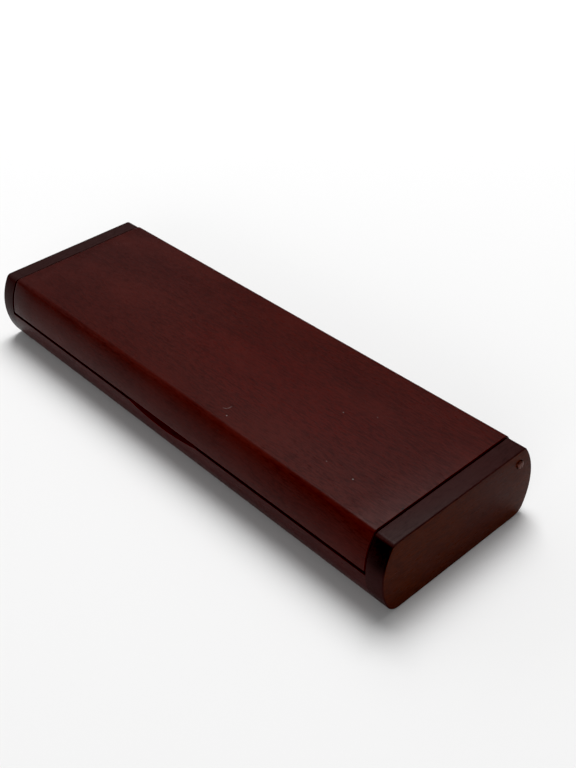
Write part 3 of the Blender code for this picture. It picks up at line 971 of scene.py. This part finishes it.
TROUGH_Y = 11.4
TROUGH_RADIUS = 8.6
TROUGH_HALF = 76.0 - TROUGH_RADIUS
TROUGH_AXIS_Z = 13.6
TROUGH_BLEND = 1.1
HOLLOW_RADIUS = 13.0
HOLLOW_AXIS_Z = 19.0
HOLLOW_HALF = 18.5 - HOLLOW_RADIUS
HOLLOW_BLEND = 1.6
TRAY_GRID = 0.8
TRAY_EDGE_ROUND = 0.8
TRAY_CORNER_RADIUS = FLOOR_CORNER_RADIUS + 0.2
TRAY_CORNER_STEPS = 6

# Past this share of its radius, a capsule's side goes on from just below its axis at a steady slope.
STEEP_FROM = 0.995
STEEP_FROM_BELOW_AXIS = 0.1
STEEP_SLOPE = 6


def capsule_depth(along, across, half, radius, axis_z):
    """Height of the lower side of a lying capsule; it climbs steeply past the capsule's edge."""
    distance = hypot(max(abs(along) - half, 0.0), across)
    if distance < radius * STEEP_FROM:
        return axis_z - sqrt(radius**2 - distance**2)
    return axis_z - radius * STEEP_FROM_BELOW_AXIS + (distance - radius * STEEP_FROM) * STEEP_SLOPE


def tray_height(x, y, edge_gap):
    height = TRAY_HIGH.z
    for trough in (-TROUGH_Y, TROUGH_Y):
        depth = capsule_depth(x, y - trough, TROUGH_HALF, TROUGH_RADIUS, TROUGH_AXIS_Z)
        height = smooth_min(height, depth, TROUGH_BLEND)
    hollow = capsule_depth(y, x, HOLLOW_HALF, HOLLOW_RADIUS, HOLLOW_AXIS_Z)
    height = smooth_min(height, hollow, HOLLOW_BLEND)
    rounding = TRAY_EDGE_ROUND
    if edge_gap < rounding:
        height -= rounding - sqrt(rounding**2 - (rounding - edge_gap) ** 2)
    return height


def tray_top(body):
    """The tray's upper surface. Returns the vertices round its edge, in order."""
    columns = round((TRAY_HIGH.x - TRAY_LOW.x) / TRAY_GRID)
    rows = round((TRAY_HIGH.y - TRAY_LOW.y) / TRAY_GRID)
    grid = []
    for i in range(columns + 1):
        x = TRAY_LOW.x + (TRAY_HIGH.x - TRAY_LOW.x) * i / columns
        line = []
        for j in range(rows + 1):
            y = TRAY_LOW.y + (TRAY_HIGH.y - TRAY_LOW.y) * j / rows
            gap = min(x - TRAY_LOW.x, TRAY_HIGH.x - x, y - TRAY_LOW.y, TRAY_HIGH.y - y)
            line.append(body.verts.new((x, y, tray_height(x, y, gap))))
        grid.append(line)
    for i in range(columns):
        for j in range(rows):
            body.faces.new((grid[i][j], grid[i + 1][j], grid[i + 1][j + 1], grid[i][j + 1]))
    rim = [grid[i][0] for i in range(columns)] + [grid[columns][j] for j in range(rows)]
    rim += [grid[i][rows] for i in range(columns, 0, -1)]
    return rim + [grid[0][j] for j in range(rows, 0, -1)]


def make_tray(flock):
    body = bmesh.new()
    rim = tray_top(body)
    for step in range(TRAY_CORNER_STEPS + 1):
        angle = pi / 2 * step / TRAY_CORNER_STEPS
        drawn_in = TRAY_CORNER_RADIUS * (1 - cos(angle))
        height = TRAY_LOW.z + TRAY_CORNER_RADIUS * (1 - sin(angle))
        lower = []
        for vertex in rim:
            y = max(TRAY_LOW.y + drawn_in, min(TRAY_HIGH.y - drawn_in, vertex.co.y))
            lower.append(body.verts.new((vertex.co.x, y, height)))
        skin(body, [lower, rim])
        rim = lower
    body.faces.new(rim)
    tray = finished("flocked_tray", body, CRISP_TRAY)
    return stand_for(tray, "lined_tray", "case", flock)


PAD_LENGTH = PAD_HIGH.x - PAD_LOW.x
PAD_WIDTH = PAD_HIGH.y - PAD_LOW.y
PAD_GRID = 1.0
PAD_BACK_THICKNESS = 0.7
PAD_SPARE = 0.05
PAD_SHOULDER = 5.0
PAD_CROWN = 0.9
GLUED_WITHIN = 0.02

# The sheet is simulated at this many times its size.
CLOTH_SCALE = 10.0
CLOTH_FRAMES = 30


def pad_sheet():
    """The satin over the foam, face down, at the simulation's size. It rounds off to all four sides."""
    body = bmesh.new()
    columns, rows = round(PAD_LENGTH / PAD_GRID), round(PAD_WIDTH / PAD_GRID)
    bmesh.ops.create_grid(body, x_segments=columns, y_segments=rows, size=0.5)
    for vertex in body.verts:
        vertex.co.x *= PAD_LENGTH
        vertex.co.y *= PAD_WIDTH
        gap = min(PAD_LENGTH / 2 - abs(vertex.co.x), PAD_WIDTH / 2 - abs(vertex.co.y))
        inside = min(gap / PAD_SHOULDER, 1.0)
        vertex.co.z = -PAD_CROWN * sqrt(1 - (1 - inside) ** 2)
    bmesh.ops.scale(body, vec=(CLOTH_SCALE * MM,) * 3, verts=body.verts)
    mesh = bpy.data.meshes.new("lid_satin")
    body.to_mesh(mesh)
    body.free()
    sheet = bpy.data.objects.new("lid_satin", mesh)
    bpy.context.scene.collection.objects.link(sheet)
    return sheet


def glue_edge(sheet):
    """Holds the sheet's outermost vertices still, as glue on the card does."""
    scale = CLOTH_SCALE * MM
    limit_x = (PAD_LENGTH / 2 - GLUED_WITHIN) * scale
    limit_y = (PAD_WIDTH / 2 - GLUED_WITHIN) * scale
    held = []
    for vertex in sheet.data.vertices:
        if abs(vertex.co.x) > limit_x or abs(vertex.co.y) > limit_y:
            held.append(vertex.index)
    sheet.vertex_groups.new(name="glued_edge").add(held, 1.0, "REPLACE")


def puff_up(sheet):
    """Satin cut a little large, glued at its edge and pushed out by the foam, so that it puckers."""
    scene = bpy.context.scene
    cloth = sheet.modifiers.new("satin", "CLOTH")
    settings = cloth.settings
    settings.quality = 8
    settings.mass = 0.12
    settings.tension_stiffness = 18
    settings.compression_stiffness = 18
    settings.shear_stiffness = 6
    settings.bending_stiffness = 0.05
    settings.use_pressure = True
    settings.uniform_pressure_force = -1.6
    settings.shrink_min = -0.035
    settings.effector_weights.gravity = 0.0
    settings.vertex_group_mass = "glued_edge"
    cloth.collision_settings.use_collision = False
    for step in range(1, CLOTH_FRAMES + 1):
        scene.frame_set(step)
    graph = bpy.context.evaluated_depsgraph_get()
    mesh = bpy.data.meshes.new_from_object(sheet.evaluated_get(graph))
    sheet.modifiers.clear()
    sheet.data = mesh
    scene.frame_set(1)


def bed_in_lid(body):
    """Puts the satin in its place in the lid, and keeps it inside the pad's space there."""
    bmesh.ops.scale(body, vec=(1 / (CLOTH_SCALE * MM),) * 3, verts=body.verts)
    centre = (PAD_LOW + PAD_HIGH) / 2
    top = PAD_HIGH.z - PAD_BACK_THICKNESS
    limit = PAD_HIGH.z - PAD_LOW.z - PAD_BACK_THICKNESS - PAD_SPARE
    for vertex in body.verts:
        sag = min(0.0, vertex.co.z)
        vertex.co.z = top - limit * (1 - exp(sag / limit))
        vertex.co.x = max(-PAD_LENGTH / 2, min(PAD_LENGTH / 2, vertex.co.x)) + centre.x
        vertex.co.y = max(-PAD_WIDTH / 2, min(PAD_WIDTH / 2, vertex.co.y)) + centre.y


def open_edges(body):
    return [edge for edge in body.edges if len(edge.link_faces) == 1]


def close_back(body):
    """Adds the pad's sides and its flat back, which lies against the lid."""
    walls = bmesh.ops.extrude_edge_only(body, edges=open_edges(body))["geom"]
    for part in walls:
        if isinstance(part, bmesh.types.BMVert):
            part.co.z = PAD_HIGH.z
    bmesh.ops.holes_fill(body, edges=open_edges(body), sides=0)


def make_pad(satin):
    sheet = pad_sheet()
    glue_edge(sheet)
    puff_up(sheet)
    body = bmesh.new()
    body.from_mesh(sheet.data)
    bpy.data.objects.remove(sheet)
    bed_in_lid(body)
    close_back(body)
    pad = finished("satin_pad", body, CRISP_PAD)
    stand_for(pad, "lid_pad", "lid", satin)
    return pad


# ---------------------------------------------------------------- studio


FLOOR_SIZE = 3000
FLOOR_DARK = (0.85, 0.85, 0.85)
FLOOR_LIGHT = (0.87, 0.87, 0.87)
WORLD_WHITE = (1.0, 1.0, 1.0)
WORLD_RADIANCE = 0.13

# Each softbox: direction from the case, distance, width and height, and radiance.
SOFTBOXES = {
    "key_overhead": ((-0.22, 0.32, 0.92), 2200, (1200, 1200), 8.2),
    "upper_panel": ((-0.50, 0.48, 0.70), 1900, (850, 520), 1.2),
    "lower_panel": ((-0.86, 0.0, 0.50), 1900, (2500, 540), 0.6),
    "front_fill": ((0.55, -0.78, 0.28), 1800, (1400, 700), 2.4),
}

CAMERA_PLACE = (216.17, -160.32, 212.64)
CAMERA_AZIMUTH = 139.98
CAMERA_ELEVATION = 37.12
CAMERA_ROLL = -3.48
CAMERA_LENS = 49.97
CAMERA_SENSOR = 36.0

# Light at or below this comes out black.
BLACK_LEVEL = 0.004


def make_floor():
    body = bmesh.new()
    bmesh.ops.create_grid(body, x_segments=8, y_segments=8, size=FLOOR_SIZE)
    floor = finished("studio_floor", body)
    n = Nodes("studio_floor")
    cloud = n.noise(n.millimetres(), 0.004, 2.0)
    n.feed(n.shader.inputs["Base Color"], n.mix(cloud, rgb(*FLOOR_DARK), rgb(*FLOOR_LIGHT)))
    n.fix(Roughness=0.9, Specular_IOR_Level=0.1)
    floor.data.materials.append(n.material)


def softbox(name, direction, distance, size, radiance):
    """A rectangular area light in a direction from the middle of the case, turned towards it."""
    light = bpy.data.lights.new(name, "AREA")
    light.shape = "RECTANGLE"
    light.size, light.size_y = size[0] * MM, size[1] * MM
    light.energy = 4 * radiance * light.size * light.size_y
    made = bpy.data.objects.new(name, light)
    made.location = Vector(direction).normalized() * distance * MM
    made.rotation_mode = "QUATERNION"
    made.rotation_quaternion = (-made.location).to_track_quat("-Z", "Y")
    bpy.context.scene.collection.objects.link(made)


def light_studio():
    """A key overhead, two dim panels behind for the sheen of the lid, and a fill in front."""
    world = bpy.data.worlds.new("studio")
    world.use_nodes = True
    background = world.node_tree.nodes["Background"]
    background.inputs["Color"].default_value = rgb(*WORLD_WHITE)
    background.inputs["Strength"].default_value = WORLD_RADIANCE
    bpy.context.scene.world = world
    for name, settings in SOFTBOXES.items():
        softbox(name, *settings)


def place_camera():
    data = bpy.data.cameras.new("camera")
    data.lens = CAMERA_LENS
    data.sensor_width = CAMERA_SENSOR
    data.clip_start, data.clip_end = 0.01, 20.0
    camera = bpy.data.objects.new("camera", data)
    azimuth, elevation = radians(CAMERA_AZIMUTH), radians(CAMERA_ELEVATION)
    ahead = Vector((cos(azimuth) * cos(elevation), sin(azimuth) * cos(elevation), -sin(elevation)))
    level = ahead.to_track_quat("-Z", "Y")
    camera.rotation_mode = "QUATERNION"
    camera.rotation_quaternion = level @ Quaternion((0, 0, 1), radians(CAMERA_ROLL))
    camera.location = Vector(CAMERA_PLACE) * MM
    bpy.context.scene.collection.objects.link(camera)
    bpy.context.scene.camera = camera


def set_tones():
    """A plain sRGB picture whose deepest shadows go to black, as a camera's do."""
    view = bpy.context.scene.view_settings
    view.view_transform = "Standard"
    view.use_curve_mapping = True
    view.curve_mapping.black_level = (BLACK_LEVEL, BLACK_LEVEL, BLACK_LEVEL)
    view.curve_mapping.update()


# ---------------------------------------------------------------- everything


def wood_materials():
    """The wood of the lid, of the base and of the end blocks."""
    marks = [speck(*mark, DUST_TONE) for mark in DUST]
    marks += [speck(*LID_NICK, NICK_TONE), hair(*HAIR, DUST_TONE)]
    lid_accents = [darker_far_end, warm_heart] + marks
    # The end blocks' accents are painted shade on the near front shoulder, painted sheen on the tops and
    # painted light on the outer faces.
    block_painted_light_and_shade = [painted_shade_corner, block_top_painted_sheen, block_face_painted_light]
    along, across = GRAIN_ALONG_CASE, GRAIN_ACROSS_CASE
    return (
        lacquered_wood("lid_rosewood", along, LID_TONES, LID_SEED, LID_SPECULAR, lid_accents),
        # The base's accent is painted light in the thumb notch.
        lacquered_wood("base_rosewood", along, BASE_TONES, BASE_SEED, BASE_SPECULAR, [notch_painted_light]),
        lacquered_wood("end_block_rosewood", across, BLOCK_TONES, BLOCK_SEED, BLOCK_SPECULAR, block_painted_light_and_shade),
    )


def build():
    lid_wood, base_wood, block_wood = wood_materials()
    beech = bare_beech()
    copper = worn_metal("dull_copper", COPPER)
    nickel = worn_metal("nickel_plate", NICKEL)
    steel = worn_metal("plain_steel", STEEL)
    make_base(base_wood)
    make_lid(lid_wood)
    for end, side in ENDS:
        make_end_block(end, side, block_wood)
        make_pin(end, side, copper)
        make_disc("magnet_" + end, "case", nickel)
        make_disc("catch_plate_" + end, "lid", steel)
        for edge in ("front", "back"):
            make_dowel(end, edge, beech)
    make_tray(black_flock())
    make_pad(ivory_satin())
    make_floor()
    light_studio()
    place_camera()


build()
set_tones()
